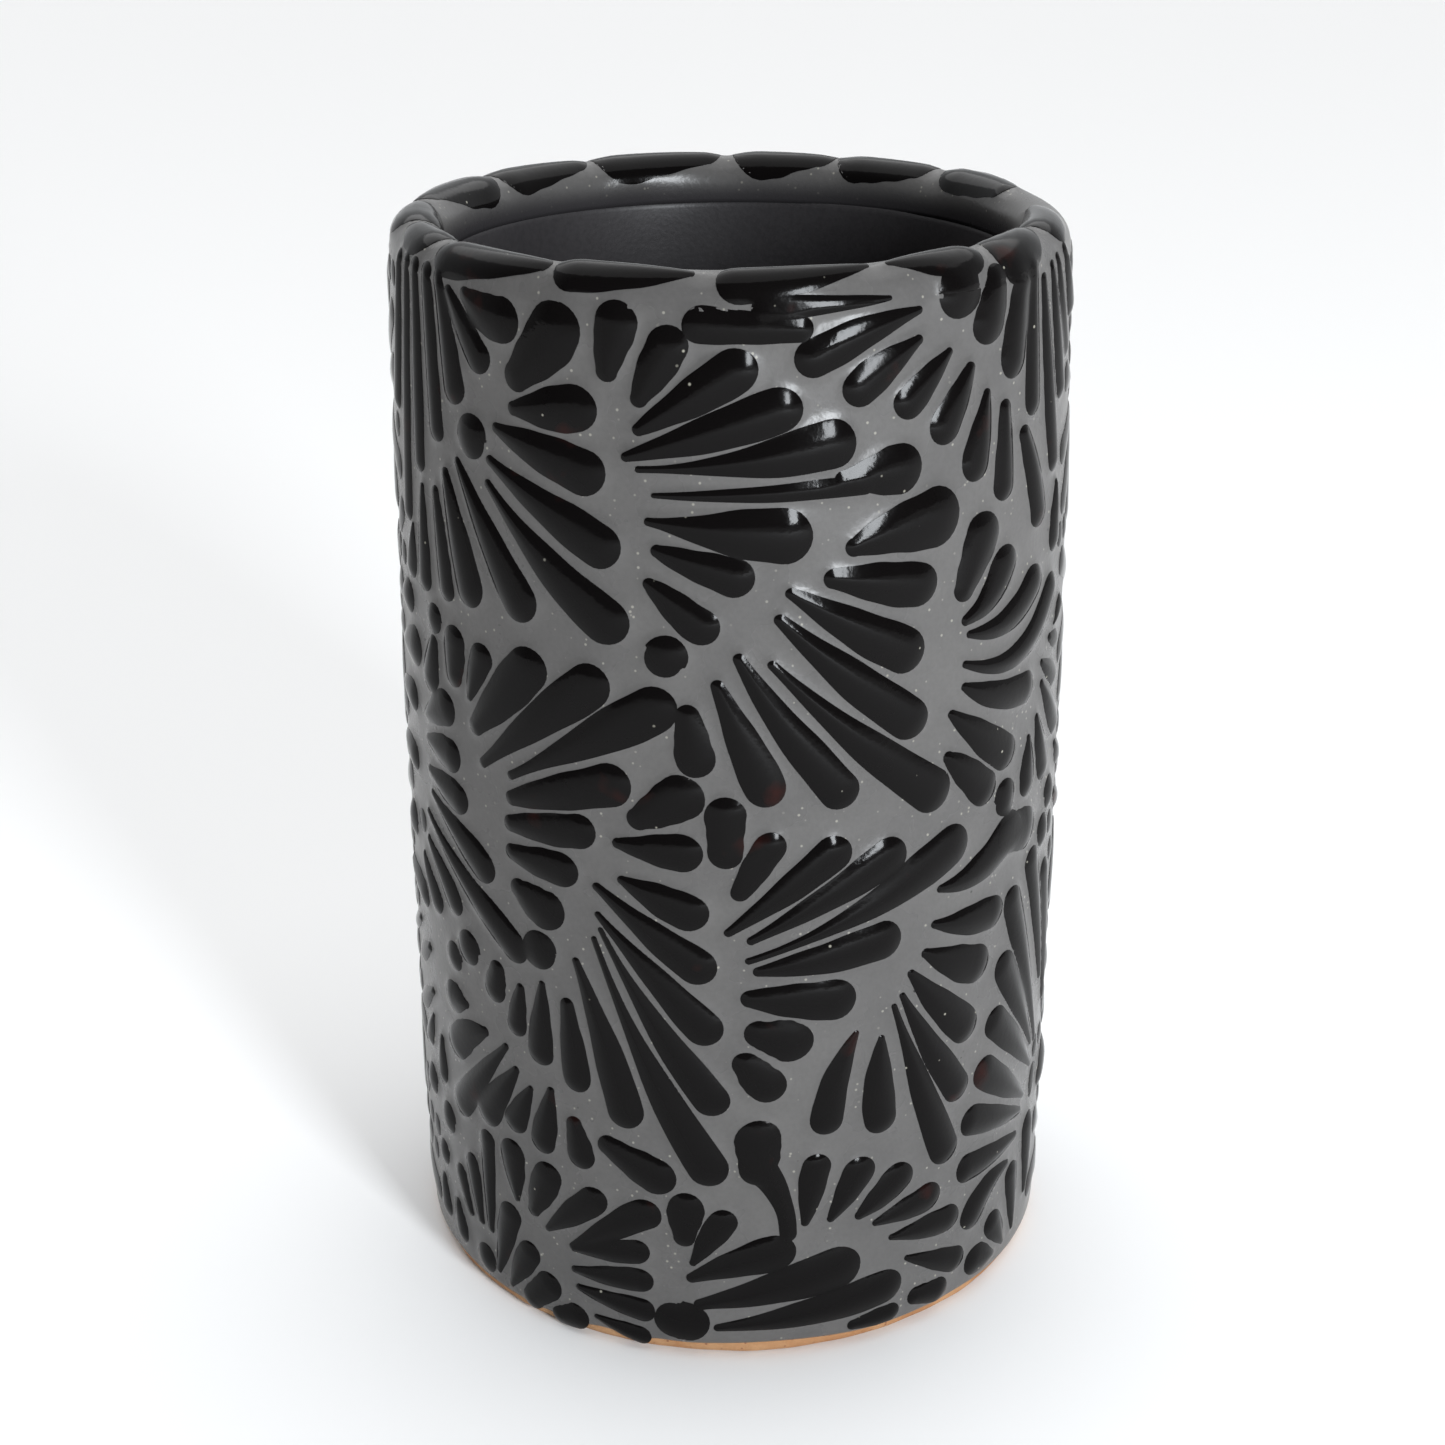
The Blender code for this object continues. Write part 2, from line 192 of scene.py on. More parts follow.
# The smaller strokes of each fan.
FANS = {
    "shoulder_left_strokes": (
        Stroke(-46.3, 145.7, -34, 142, 5.9, 0.35, 1, -0.3),
        Stroke(-50, 145.9, -40.9, 136.3, 4.4, 0.4),
        Stroke(-35.9, 135.2, -24.3, 145.5, 7.2, 0.55, 1, -0.3),
        Stroke(-19, 137.3, -16.5, 147, 5.2, 0.52),
        Stroke(-14.3, 134.6, -7.8, 144.2, 5.1, 0.45),
        Stroke(-36.2, 132.5, -20.3, 134, 6, 0.32),
        Stroke(-48.7, 124.5, -33.2, 105.6, 5.3),
    ),
    "shoulder_mid_strokes": (
        Stroke(-13.2, 113.2, -2.4, 105.9, 4.7, 0.36, 0.8),
        Stroke(-14.6, 131.4, 3.6, 140.6, 5.4, 0.3, 0.9),
        Stroke(-12, 123.8, 22, 124.6, 2.6, 0.25),
        Stroke(15.5, 125.2, 30.2, 126.2, 6.2, 0.4, 1.2),
        Stroke(-12.1, 117.2, 3.4, 113, 4.9, 0.34, 0.9),
    ),
    "shoulder_right_strokes": (
        Stroke(29.9, 145.1, 9.5, 139.6, 4.9, 0.22, 1, -0.4),
        Stroke(30, 141.7, 17.2, 135.1, 4.8, 0.28, 1, -0.2),
        Stroke(35.6, 139.7, 25.9, 132.5, 4.3, 0.26),
        Stroke(40, 137.5, 33.1, 128.2, 4.6, 0.36, 0.9),
        Stroke(43.5, 133.8, 40.4, 122.4, 4.6, 0.3),
        Stroke(47.9, 131.8, 48.1, 118.7, 4, 0.55),
        Stroke(53, 127.5, 60, 113.2, 4.5, 0.55, 1, 0.4),
        Stroke(37.2, 150, 36.9, 143.1, 6.5, 0.9),
    ),
    "right_edge_strokes": (
        Stroke(45.6, 148.6, 42.4, 139.3, 5.7, 0.6),
        Stroke(51.5, 147, 49.3, 134.1, 5.1, 0.8),
        Stroke(55.2, 148, 56.2, 128.3, 3.9, 0.6),
        Stroke(58.8, 146, 65.8, 119.2, 4, 0.4, 0.8),
        Stroke(62.5, 147, 69.3, 128.3, 3.8, 0.35),
        Stroke(65.3, 147.5, 72.3, 133, 3.8, 0.35),
        Stroke(69.5, 148, 77.5, 138, 4, 0.4),
        Stroke(67.3, 117.8, 66.5, 108, 4.1, 0.3),
    ),
    "waist_left_strokes": (
        Stroke(-38.9, 80.4, -16, 86.5, 5.9, 0.36),
        Stroke(-39.5, 76.9, -21.9, 78.7, 5, 0.5),
        Stroke(-39.4, 73.1, -25.1, 72.2, 4.9, 0.5),
        Stroke(-16.3, 80.6, -4.8, 86.3, 6.2, 0.5),
        Stroke(-19.1, 77.7, -4.5, 76.9, 5.1, 0.3),
        Stroke(-1, 75.1, -1.1, 85, 5, 0.85),
        Stroke(-7.1, 97.3, -5.1, 87.6, 4.9, 0.6),
    ),
    "waist_right_strokes": (
        Stroke(-2.6, 100.6, 6.4, 83.7, 5.1, 0.32),
        Stroke(14, 113.4, 33.4, 110.2, 6, 0.45),
        Stroke(17.4, 116.6, 37.6, 119.8, 7.6, 0.32, 1, 0.3),
    ),
    "waist_edge_strokes": (
        Stroke(38.2, 107.2, 44.7, 117.9, 6, 0.55),
        Stroke(38.9, 104, 51.2, 111.9, 5.2, 0.3, 1, -0.9),
        Stroke(39.9, 102.3, 61, 106.3, 5, 0.22, 1, -1.6),
        Stroke(39.2, 98.4, 68.3, 103.6, 4.6, 0.22, 1, -3.8),
        Stroke(39.1, 95.6, 59.1, 90.8, 4.7, 0.26, 0.8, -0.8),
        Stroke(36.5, 92.6, 52.9, 82.4, 5.2, 0.26, 0.9, -0.2),
        Stroke(35.8, 87, 47.2, 78.5, 5.1, 0.34, 0.8),
        dot(50.9, 77.3, 4.6, 90, 1.15),
        Stroke(58.5, 84.2, 58.2, 75.3, 4.3, 0.25),
        Stroke(61.3, 86.3, 66.2, 75.7, 4.5, 0.3),
        Stroke(62.8, 90.6, 73.5, 80.8, 4.3, 0.3),
        Stroke(62.5, 93.5, 71.5, 88.8, 3.4, 0.3),
        Stroke(69, 97, 74, 100, 3),
        Stroke(66, 96, 72, 94.2, 2.6, 0.5),
    ),
    "belly_right_strokes": (
        Stroke(34.8, 67.9, 55.5, 73, 5.8, 0.2, 1, -1.4),
        Stroke(48.5, 72, 61.8, 70.2, 6.3, 0.8),
        Stroke(33.8, 63.2, 51.1, 60.8, 5, 0.26, 1, -0.3),
        Stroke(32.1, 59.6, 47.2, 53.4, 5.7, 0.26, 1, -0.3),
        Stroke(29.6, 57.3, 43.9, 43.9, 5.3, 0.22, 1, -0.2),
        Stroke(24.8, 48.7, 25, 33.6, 4.9, 0.2, 0.8, -0.3),
        Stroke(20.4, 50.2, 14.6, 35.1, 4.6, 0.18, 0.9, -0.6),
    ),
    "belly_mid_strokes": (
        Stroke(0.4, 70.7, 7.2, 79.8, 4.2, 0.6),
        Stroke(2, 61.8, 41, 75, 6.3, 0.16, 2.6, -0.5),
        Stroke(1.2, 56.6, 20.1, 55, 6, 0.42),
        Stroke(1.9, 51.9, 12.9, 48.9, 6, 0.65),
        Stroke(0.6, 48.1, 7.5, 41.4, 5.3, 0.68),
    ),
    "belly_left_strokes": (
        Stroke(-18.3, 72.8, -3.9, 67.7, 5.3),
        Stroke(-26.2, 60.1, -17, 35.8, 5, 0.22, 1.2, 0.4),
        Stroke(-28.1, 53.7, -26.3, 39.7, 4.1, 0.5),
        Stroke(-32.8, 55.2, -33.8, 42.2, 4.1),
        Stroke(-37.4, 53.6, -39, 45.3, 3.5, 0.4),
        Stroke(-38.4, 68.6, -28.2, 64.7, 5.9, 0.5),
        dot(-33, 59.8, 5.3, 90, 1.08),
        Stroke(-42.4, 55.6, -44.1, 49.1, 4.1, 0.7),
    ),
    "foot_curl_strokes": (
        Stroke(3.9, 28.2, 4.3, 38.1, 6.1, 0.8),
        Stroke(2.9, 33.5, 9.6, 19, 2.3, 2.0, 1, 1),
        Stroke(-7.9, 12.9, 10.3, 18.2, 5.5, 0.28, 1, 0.4),
        Stroke(-8.3, 18.2, -7.8, 26.7, 4.9, 0.6),
        Stroke(-7.1, 15.2, -0.6, 24, 4.1),
        Stroke(-22.7, 33.3, -9.8, 27.4, 5.3, 0.6),
    ),
    "foot_right_strokes": (
        Stroke(11.9, 21, 14.2, 32.1, 4.1, 0.3, 0.9),
        Stroke(16.1, 21.1, 22.9, 30.2, 4.5, 0.26),
        Stroke(20.9, 20.8, 31.1, 27.1, 4.8, 0.3, 0.9),
        Stroke(24, 19.3, 37.8, 21.2, 4.5, 0.26),
        Stroke(27.2, 16.3, 42.5, 15.6, 4.4),
        Stroke(30.6, 12.1, 44.2, 7.3, 3.9),
        Stroke(31.5, 5.2, 40.4, 4, 3.9, 0.75),
        Stroke(19.8, 3.3, 29.8, 3.9, 3.1, 0.6),
    ),
    "foot_edge_strokes": (
        Stroke(68.5, 33.5, 53.3, 62.9, 4.7, 0.24, 1.1),
        Stroke(66, 34, 51, 53.4, 4.8, 0.22, 1.1),
        Stroke(66.6, 30.3, 48.6, 45.2, 4.9, 0.22, 1.1),
        Stroke(63.4, 26.6, 45.6, 38, 5.1, 0.22, 1.1),
        Stroke(62.3, 24.6, 42.4, 30.6, 4.6),
        Stroke(60.8, 21.4, 41.6, 22.5, 4.5, 0.26),
        Stroke(57.6, 18.3, 43.2, 13.2, 5.2, 0.24, 1, -1.2),
        Stroke(53.8, 4.1, 44.9, 6.6, 4.9, 0.3),
        Stroke(57.2, 4.4, 51.4, 11.5, 4.2),
        Stroke(60.9, 5, 59, 17.2, 4),
        Stroke(66.5, 8.6, 67.2, 22.2, 4.6),
        Stroke(70, 43, 61, 66.5, 4.3, 0.3),
        dot(66.7, 67.5, 4.4),
        dot(69.9, 72.3, 4.4),
        Stroke(74, 38, 68.8, 62.3, 4, 0.3),
        Stroke(73, 24, 82, 28, 6, 0.7),
        Stroke(73.5, 78.5, 79, 74.5, 3.5, 0.4),
        Stroke(75, 70.5, 81, 67.5, 3.2, 0.4),
    ),
    "left_waist_strokes": (
        Stroke(-60.9, 75.7, -42.4, 67.9, 5, 0.22, 1.1, 0.3),
        Stroke(-63.3, 72.2, -35.8, 57.6, 4.8, 0.22, 1.2, 0.3),
        Stroke(-64, 68, -52.2, 59.7, 4.3, 0.3, 1, 0.3),
        Stroke(-67, 64.6, -59.9, 57.2, 4.3),
        dot(-73, 67.6, 4.8),
        dot(-50.3, 55.3, 5.1, 90, 1.02),
        dot(-55.3, 52.3, 4.3, 90, 1.02),
        Stroke(-78, 60, -65.5, 57, 4.5, 0.4),
    ),
    "left_belly_strokes": (
        Stroke(-51.2, 46, -59.4, 45.5, 4.8, 0.3, 0.8),
        Stroke(-46, 43.9, -58.4, 37.2, 5.2, 0.3, 0.8, -0.4),
        Stroke(-41.1, 43.2, -57, 27.4, 4.7, 0.22, 1.2),
        Stroke(-38.9, 40.3, -48.5, 28.9, 4.8, 0.26),
        Stroke(-35.9, 38.2, -41, 29.9, 3.9),
        Stroke(-31.7, 39.2, -34.3, 28.3, 4.1, 0.3),
        Stroke(-27.6, 35.7, -25.7, 27.8, 4, 0.6),
    ),
    "left_foot_strokes": (
        Stroke(-40.4, 18.3, -41.3, 28.2, 4.7),
        Stroke(-37, 17.3, -32.1, 26.8, 4.9, 0.45),
        Stroke(-34, 15.8, -22.2, 24.6, 4.4),
        Stroke(-29, 14.4, -12.6, 24, 4.7, 0.22, 1.2, 0.2),
        Stroke(-28.8, 14.2, -14.2, 16.8, 4, 0.22),
        Stroke(-29, 10.8, -13.6, 11.9, 3.9, 0.3),
        Stroke(-28.2, 8.1, -13.4, 6.6, 3.7, 0.3),
        Stroke(-24.8, 4, -14.3, 2.1, 2.9, 0.3),
        Stroke(-33.5, 1.6, -26, 3.4, 4.2, 0.7),
        Stroke(-39.5, 1.6, -32.2, 8, 4.4, 0.8),
        Stroke(-43.5, 2.9, -37, 12.2, 4.1),
        Stroke(-46.6, 4, -41.8, 17.3, 4.3),
    ),
    "left_edge_strokes": (
        Stroke(-48.2, 10.1, -47.8, 27.3, 3.3, 0.45),
        Stroke(-51, 10.3, -53.4, 21.4, 3.4, 0.5),
        Stroke(-54.3, 10.3, -58.4, 17.6, 3.1, 0.5),
        dot(-50, 5.1, 4.5, 90, 1.04),
        dot(-61.4, 24, 4.4),
        Stroke(-62.9, 36.9, -63.4, 29, 3.5, 0.45),
        Stroke(-67, 38.6, -71, 32.6, 3.5),
        Stroke(-66, 42.8, -75, 37.6, 3.2, 0.4),
        Stroke(-66.5, 49.6, -74, 45.7, 3, 0.5),
        Stroke(-73, 51.8, -80, 48.4, 2.6, 0.5),
        dot(-69.5, 27, 4.4),
        dot(-65, 16.6, 3.6),
        Stroke(-66.3, 12.5, -65.2, 5.5, 4, 0.5),
        Stroke(-60, 11, -58, 4.2, 3.8, 0.5),
    ),
    "left_lip_strokes": (
        Stroke(-52.8, 147.5, -48.3, 131.2, 4.3, 0.5, 1, 0.2),
        Stroke(-56.7, 148, -54.1, 125.5, 3.5, 0.8),
        Stroke(-60.8, 148, -60.9, 120.3, 3.3, 0.7),
        Stroke(-64.3, 148, -67.6, 112.3, 3.3, 0.6),
        Stroke(-68.3, 148, -72.3, 126.5, 3.4, 0.6),
    ),
    "left_shoulder_strokes": (
        Stroke(-60.2, 119, -60.5, 104.2, 3.8, 0.3),
        Stroke(-55.5, 119.6, -52.3, 104.6, 3.7, 0.45),
        Stroke(-52.2, 122.6, -45.3, 105.2, 5.1, 0.36, 0.9),
        Stroke(-65, 112.6, -67, 104.6, 4),
        dot(-57.2, 101.2, 4.1, 90, 1.02),
        Stroke(-57.4, 98.8, -60, 90.5, 4.6, 0.5),
        Stroke(-51.3, 93.1, -50.8, 101.7, 4.8, 0.8),
        Stroke(-47.3, 92.2, -43, 100.6, 4.1, 0.3),
        Stroke(-62.3, 86.2, -51.7, 90.6, 5, 0.3, 0.9),
        Stroke(-62, 83.2, -50.1, 83, 4.9, 0.3),
        Stroke(-61.8, 78.8, -48.4, 76.9, 4.8, 0.3),
        Stroke(-73, 101.5, -66, 101.5, 4.8),
        Stroke(-74, 94.5, -62.8, 95.2, 5.6),
        Stroke(-76, 88, -65.9, 86.9, 4.6),
        Stroke(-77, 79.6, -67, 77.6, 4.6),
    ),
    "near_lip_strokes": (
        Stroke(12.3, 143.8, -7.2, 144.6, 4.4, 0.7),
        Stroke(24.8, 146.7, 3, 146.3, 2.8, 0.2),
    ),
}

# Strokes over the lip. Heights count outwards from the crest here, along the lip's surface.
RIM_STROKES = (
    Stroke(22.5, 1, -2.2, 3, 5.3, 0.15, 0.8),
    Stroke(25.5, 1, 44, 1.5, 6.2, 0.15, 0.9),
    Stroke(66, -2.2, 46.5, 4.2, 8.4, 0.4),
    Stroke(90, -1.5, 67, 1.2, 7, 0.3),
    Stroke(108, -1.5, 131, 0.5, 8.4, 0.45),
    Stroke(134, -0.5, 157, 0.5, 9.6, 0.55),
    Stroke(157.5, 0, 179.5, 0.3, 9.8, 0.55),
    Stroke(182, 0, 209.5, 0, 9.6, 0.5),
    Stroke(211, -0.2, 235.5, 0.4, 9.4, 0.45),
    Stroke(262, 0.4, 236.5, -0.8, 9.6, 0.4),
    Stroke(265, 0.5, 283, -0.5, 8.6, 0.45),
    Stroke(285, 0, 301.5, 0.6, 7.6, 0.5),
    Stroke(330.5, 1.4, 304.5, 1.8, 7.2, 0.3, 0.8),
    Stroke(354.5, 1.5, 331.5, 1.6, 6.2, 0.15, 0.9),
)

# The back repeats the front upside down, squeezed at both ends to keep off the foot and the lip.
BACK_NODES = ("shoulder_left_petal", "waist_right_petal", "waist_left_petal", "belly_left_petal")
BACK_UPPER_START = 130
BACK_UPPER_SQUEEZE = 0.72
BACK_LOWER_END = 20
BACK_LOWER_START = 3.2
BACK_LOWER_SQUEEZE = 0.84
BACK_SPACING = 0.25
BACK_WIDTH_SHARES = (1.0, 0.88, 0.76, 0.64)

# Fans at the two sides, which fill what the front and back leave open.
SIDE_HUBS = (127, 97, 67, 38, 12)
SIDE_HUB_SHIFTS = (-3, 4)
SIDE_HUB_TURN = 0.15
SIDE_FAN_COUNT = 15
SIDE_REACHES = (19, 17, 15, 13, 11.5, 10, 9)
SIDE_FAN_ROOT = 4.2
SIDE_STROKE_WIDTH = 4.2
SIDE_STROKE_ROOT = 0.26
SIDE_DOT_WIDTH = 4.4
SIDE_SPACING = 0.65
SIDE_HEIGHT_SHARE = 0.5
SIDE_LOWEST = 3.5
SIDE_HIGHEST = 146.5

# Small drops and dots in what is still open: their rows and columns, sizes and lean.
DROP_LOWEST = SIDE_LOWEST + 3
DROP_HIGHEST = SIDE_HIGHEST - 2
DROP_ROW_STEP = 2.5
DROP_ROW_SHIFT = 1.2
DROP_COLUMN_STEP = 2.4
DROP_HALF_LENGTH = 2.6
DROP_WIDTH = 3.4
DROP_DOT_WIDTH = 3.1
DROP_ROOT = 0.45
DROP_LEAN = 3.5
DROP_LEAN_BY_HEIGHT = 0.37
DROP_LEAN_BY_COLUMN = 0.8
SIDE_DROP_COLUMNS = 9
BACK_DROP_COLUMNS = 28


def wall_radius(v):
    """Radius of the glaze on the straight wall at each height."""
    share = v / HEIGHT
    rounding = EDGE_ROUNDING * np.exp(-v / EDGE_ROUNDING_HEIGHT)
    return MOUTH_RADIUS + FOOT_FLARE * (1 - share) + BELLY_BULGE * np.sin(np.pi * share) - rounding


def profile(v):
    """(radius, height, outward radius part, outward height part) of the glaze at each v."""
    v = np.asarray(v, dtype=float)
    turn = np.clip((v - LIP_START) / LIP_RADIUS, 0, np.pi)
    wall = np.minimum(v, LIP_START)
    slope = (wall_radius(wall + 0.05) - wall_radius(wall - 0.05)) / 0.1
    slope = np.where(v < LIP_START, slope, 0)
    scale = np.sqrt(1 + slope**2)
    radius = np.where(v < LIP_START, wall_radius(wall), LIP_CENTRE_RADIUS + LIP_RADIUS * np.cos(turn))
    down = np.maximum(v - BORE_START, 0)
    height = np.where(v < LIP_START, v, LIP_CENTRE_HEIGHT + LIP_RADIUS * np.sin(turn) - down)
    return radius, height, np.cos(turn) / scale, np.sin(turn) - slope / scale


def unevenness(u, v):
    """How far the hand-made wall stands off its true shape."""
    angle = u / MOUTH_RADIUS
    rounds = 0.10 * np.sin(2 * angle + 0.6) + 0.06 * np.sin(5 * angle + v / 19 + 2.0)
    rings = 0.05 * np.sin(v / 8.5 + 1.3 * np.sin(angle)) + 0.04 * np.sin(3 * angle - v / 31)
    return rounds + rings


def on_sheet(u, v, lift):
    """Points in metres at sheet places, lifted off the smooth glaze surface."""
    radius, height, outward, upward = profile(v)
    lift = lift + unevenness(u, v)
    radius = radius + outward * lift
    height = height + upward * lift
    angle = u / MOUTH_RADIUS
    return np.stack([radius * np.sin(angle), -radius * np.cos(angle), height], axis=-1) * MM


# The relief is kept on a fine grid over the sheet, which wraps round in u.
GRID_COLUMNS = 1134
GRID_STEP = SHEET_WIDTH / GRID_COLUMNS
GRID_ROWS = int(COAT_END / GRID_STEP) + 2
SPINE_POINTS = 15

FAR_AWAY = 50.0
nearest = np.full((GRID_ROWS, GRID_COLUMNS), FAR_AWAY)
openness = np.ones((GRID_ROWS, GRID_COLUMNS))


def spine(stroke):
    """(u, v) points along a stroke and the stroke's radius at each."""
    start = np.array([math.radians(stroke.start_azimuth) * MOUTH_RADIUS, stroke.start_height])
    end = np.array([math.radians(stroke.end_azimuth) * MOUTH_RADIUS, stroke.end_height])
    full = stroke.width / 2
    heading = (end - start) / np.linalg.norm(end - start)
    start = start + heading * full * stroke.root
    end = end - heading * full
    side = np.array([-heading[1], heading[0]])
    middle = (start + end) / 2 + side * stroke.bend * 2
    t = np.linspace(0, 1, SPINE_POINTS)[:, None]
    points = (1 - t) ** 2 * start + 2 * t * (1 - t) * middle + t**2 * end
    widening = np.sin(t[:, 0] * math.pi / 2) ** stroke.power
    radii = full * (stroke.root + (1 - stroke.root) * widening)
    return points, radii


def signed_distance(u, v, points, radii):
    """Distance from sheet places to a stroke's outline, negative inside."""
    best = np.full(u.shape, 1e9)
    for a, b, ra, rb in zip(points, points[1:], radii, radii[1:]):
        along = b - a
        t = ((u - a[0]) * along[0] + (v - a[1]) * along[1]) / max(along @ along, 1e-9)
        t = np.clip(t, 0, 1)
        reach = np.hypot(u - a[0] - t * along[0], v - a[1] - t * along[1])
        best = np.minimum(best, reach - ra - t * (rb - ra))
    return best


def grid_patch(points, radii):
    """The grid cells round a stroke, and their signed distances to it."""
    margin = radii.max() + RELIEF_REACH
    low = np.floor((points.min(axis=0) - margin) / GRID_STEP).astype(int)
    high = np.ceil((points.max(axis=0) + margin) / GRID_STEP).astype(int)
    columns = np.arange(low[0], high[0] + 1)
    rows = np.arange(max(low[1], 0), min(high[1], GRID_ROWS - 1) + 1)
    u, v = np.meshgrid(columns * GRID_STEP, rows * GRID_STEP)
    cells = np.ix_(rows, columns % GRID_COLUMNS)
    return cells, signed_distance(u, v, points, radii)


def lay(stroke, height_share=1.0):
    """Adds a stroke to the relief, at a share of the full height."""
    points, radii = spine(stroke)
    cells, distance = grid_patch(points, radii)
    nearest[cells] = np.minimum(nearest[cells], distance)
    full = radii.max()
    inside = np.clip(-distance / full, 0, 1)
    fall = 2 * (1 - EDGE_SHARE) / (EDGE_SHARE * full)
    dome = EDGE_SHARE + (1 - EDGE_SHARE) * (1 - (1 - inside) ** 2)
    skirt = EDGE_SHARE * np.exp(-fall * np.maximum(distance, 0))
    strength = height_share * min(1, full / FULL_RELIEF_RADIUS) ** RELIEF_POWER
    openness[cells] *= 1 - RELIEF_SHARE * strength * np.where(distance < 0, dome, skirt)


def sample(field, u, v):
    """A grid field read between its cells."""
    column = np.asarray(u) / GRID_STEP
    row = np.clip(np.asarray(v) / GRID_STEP, 0, GRID_ROWS - 1.001)
    i = np.floor(column).astype(int)
    j = np.floor(row).astype(int)
    x, y = column - i, row - j
    i, i_next = i % GRID_COLUMNS, (i + 1) % GRID_COLUMNS
    low = field[j, i] * (1 - x) + field[j, i_next] * x
    high = field[j + 1, i] * (1 - x) + field[j + 1, i_next] * x
    return low * (1 - y) + high * y


def relief(u, v):
    """Height of the glaze above the wall at sheet places."""
    return RELIEF * (1 - sample(openness, u, v))


def turned_upside_down(stroke):
    """The same stroke on the back of the vase, turned by half a turn and kept off foot and lip."""

    def turned(height):
        up = HEIGHT - height
        if up > BACK_UPPER_START:
            up = BACK_UPPER_START + (up - BACK_UPPER_START) * BACK_UPPER_SQUEEZE
        if up < BACK_LOWER_END:
            up = BACK_LOWER_START + up * BACK_LOWER_SQUEEZE
        return up

    return stroke._replace(
        start_azimuth=180 - stroke.start_azimuth,
        start_height=turned(stroke.start_height),
        end_azimuth=180 - stroke.end_azimuth,
        end_height=turned(stroke.end_height),
    )


def clear_of_others(stroke, spacing=SIDE_SPACING):
    """Whether a stroke keeps its distance from every stroke laid so far."""
    points, radii = spine(stroke)
    return bool(np.all(sample(nearest, points[:, 0], points[:, 1]) > radii + spacing))


def lay_apart(strokes):
    """Lays the strokes that have room, made narrower where that gives them room."""
    kept = []
    for stroke in strokes:
        for share in BACK_WIDTH_SHARES:
            narrower = stroke._replace(width=stroke.width * share)
            if clear_of_others(narrower, BACK_SPACING):
                lay(narrower)
                kept.append(narrower)
                break
    return kept


def side_fan(azimuth, height, first_turn):
    """A dot with strokes all round it, each as long as the strokes beside it allow."""
    fan = []
    hub = dot(azimuth, height, SIDE_DOT_WIDTH)
    if clear_of_others(hub):
        lay(hub, SIDE_HEIGHT_SHARE)
        fan.append(hub)
    for number in range(SIDE_FAN_COUNT):
        turn = first_turn + 2 * math.pi * number / SIDE_FAN_COUNT
        across, up = math.sin(turn), math.cos(turn)
        for reach in SIDE_REACHES:
            ends = [
                (azimuth + math.degrees(away * across / MOUTH_RADIUS), height + away * up)
                for away in (SIDE_FAN_ROOT, reach)
            ]
            stroke = Stroke(*ends[0], *ends[1], SIDE_STROKE_WIDTH, SIDE_STROKE_ROOT)
            low, high = sorted(end[1] for end in ends)
            if low > SIDE_LOWEST and high < SIDE_HIGHEST and clear_of_others(stroke):
                lay(stroke, SIDE_HEIGHT_SHARE)
                fan.append(stroke)
                break
    return fan


def fill(azimuth, columns):
    """Short drops and dots in the spaces that the fans round an azimuth leave open."""
    drops = []
    for row, height in enumerate(np.arange(DROP_LOWEST, DROP_HIGHEST, DROP_ROW_STEP)):
        for column in range(-columns, columns + 1):
            place = azimuth + DROP_COLUMN_STEP * column + DROP_ROW_SHIFT * (row % 2)
            wave = DROP_LEAN_BY_HEIGHT * height + DROP_LEAN_BY_COLUMN * column
            lean = DROP_LEAN * math.sin(wave)
            low, high = height - DROP_HALF_LENGTH, height + DROP_HALF_LENGTH
            drop = Stroke(place, low, place + lean, high, DROP_WIDTH, DROP_ROOT)
            for stroke in (drop, dot(place, height, DROP_DOT_WIDTH)):
                if clear_of_others(stroke):
                    lay(stroke, SIDE_HEIGHT_SHARE)
                    drops.append(stroke)
                    break
    return drops


def on_lip(stroke):
    """A rim stroke with its places counted from the crest turned into sheet heights."""
    return stroke._replace(start_height=CREST - stroke.start_height, end_height=CREST - stroke.end_height)


# Materials.


def new_material(name):
    material = bpy.data.materials.new(name)
    material.use_nodes = True
    nodes = material.node_tree.nodes
    return material, nodes, material.node_tree.links, nodes["Principled BSDF"]


def texture(nodes, links, kind, scale, **settings):
    """A noise or cell texture on the object's own coordinates, scale in cells per metre."""
    place = nodes.get("Place") or nodes.new("ShaderNodeTexCoord")
    place.name = "Place"
    node = nodes.new(kind)
    node.inputs["Scale"].default_value = scale
    for name, value in settings.items():
        node.inputs[name.replace("_", " ")].default_value = value
    links.new(place.outputs["Object"], node.inputs["Vector"])
    return node


def ramp(nodes, links, source, low, high, from_value=0.0, to_value=1.0):
    """Maps a value from low..high to from_value..to_value, clamped."""
    node = nodes.new("ShaderNodeMapRange")
    node.inputs["From Min"].default_value = low
    node.inputs["From Max"].default_value = high
    node.inputs["To Min"].default_value = from_value
    node.inputs["To Max"].default_value = to_value
    links.new(source, node.inputs["Value"])
    return node.outputs["Result"]


def blend_colour(nodes, links, factor, first, second):
    """Mixes two colours, or a colour socket and a colour, by a factor socket."""
    node = nodes.new("ShaderNodeMix")
    node.data_type = "RGBA"
    links.new(factor, node.inputs["Factor"])
    for socket, value in (("A", first), ("B", second)):
        target = [s for s in node.inputs if s.name == socket and s.type == "RGBA"][0]
        if isinstance(value, bpy.types.NodeSocket):
            links.new(value, target)
        else:
            target.default_value = (*value, 1.0)
    return [s for s in node.outputs if s.type == "RGBA"][0]


def multiply(nodes, links, first, second):
    node = nodes.new("ShaderNodeMath")
    node.operation = "MULTIPLY"
    links.new(first, node.inputs[0])
    links.new(second, node.inputs[1])
    return node.outputs[0]


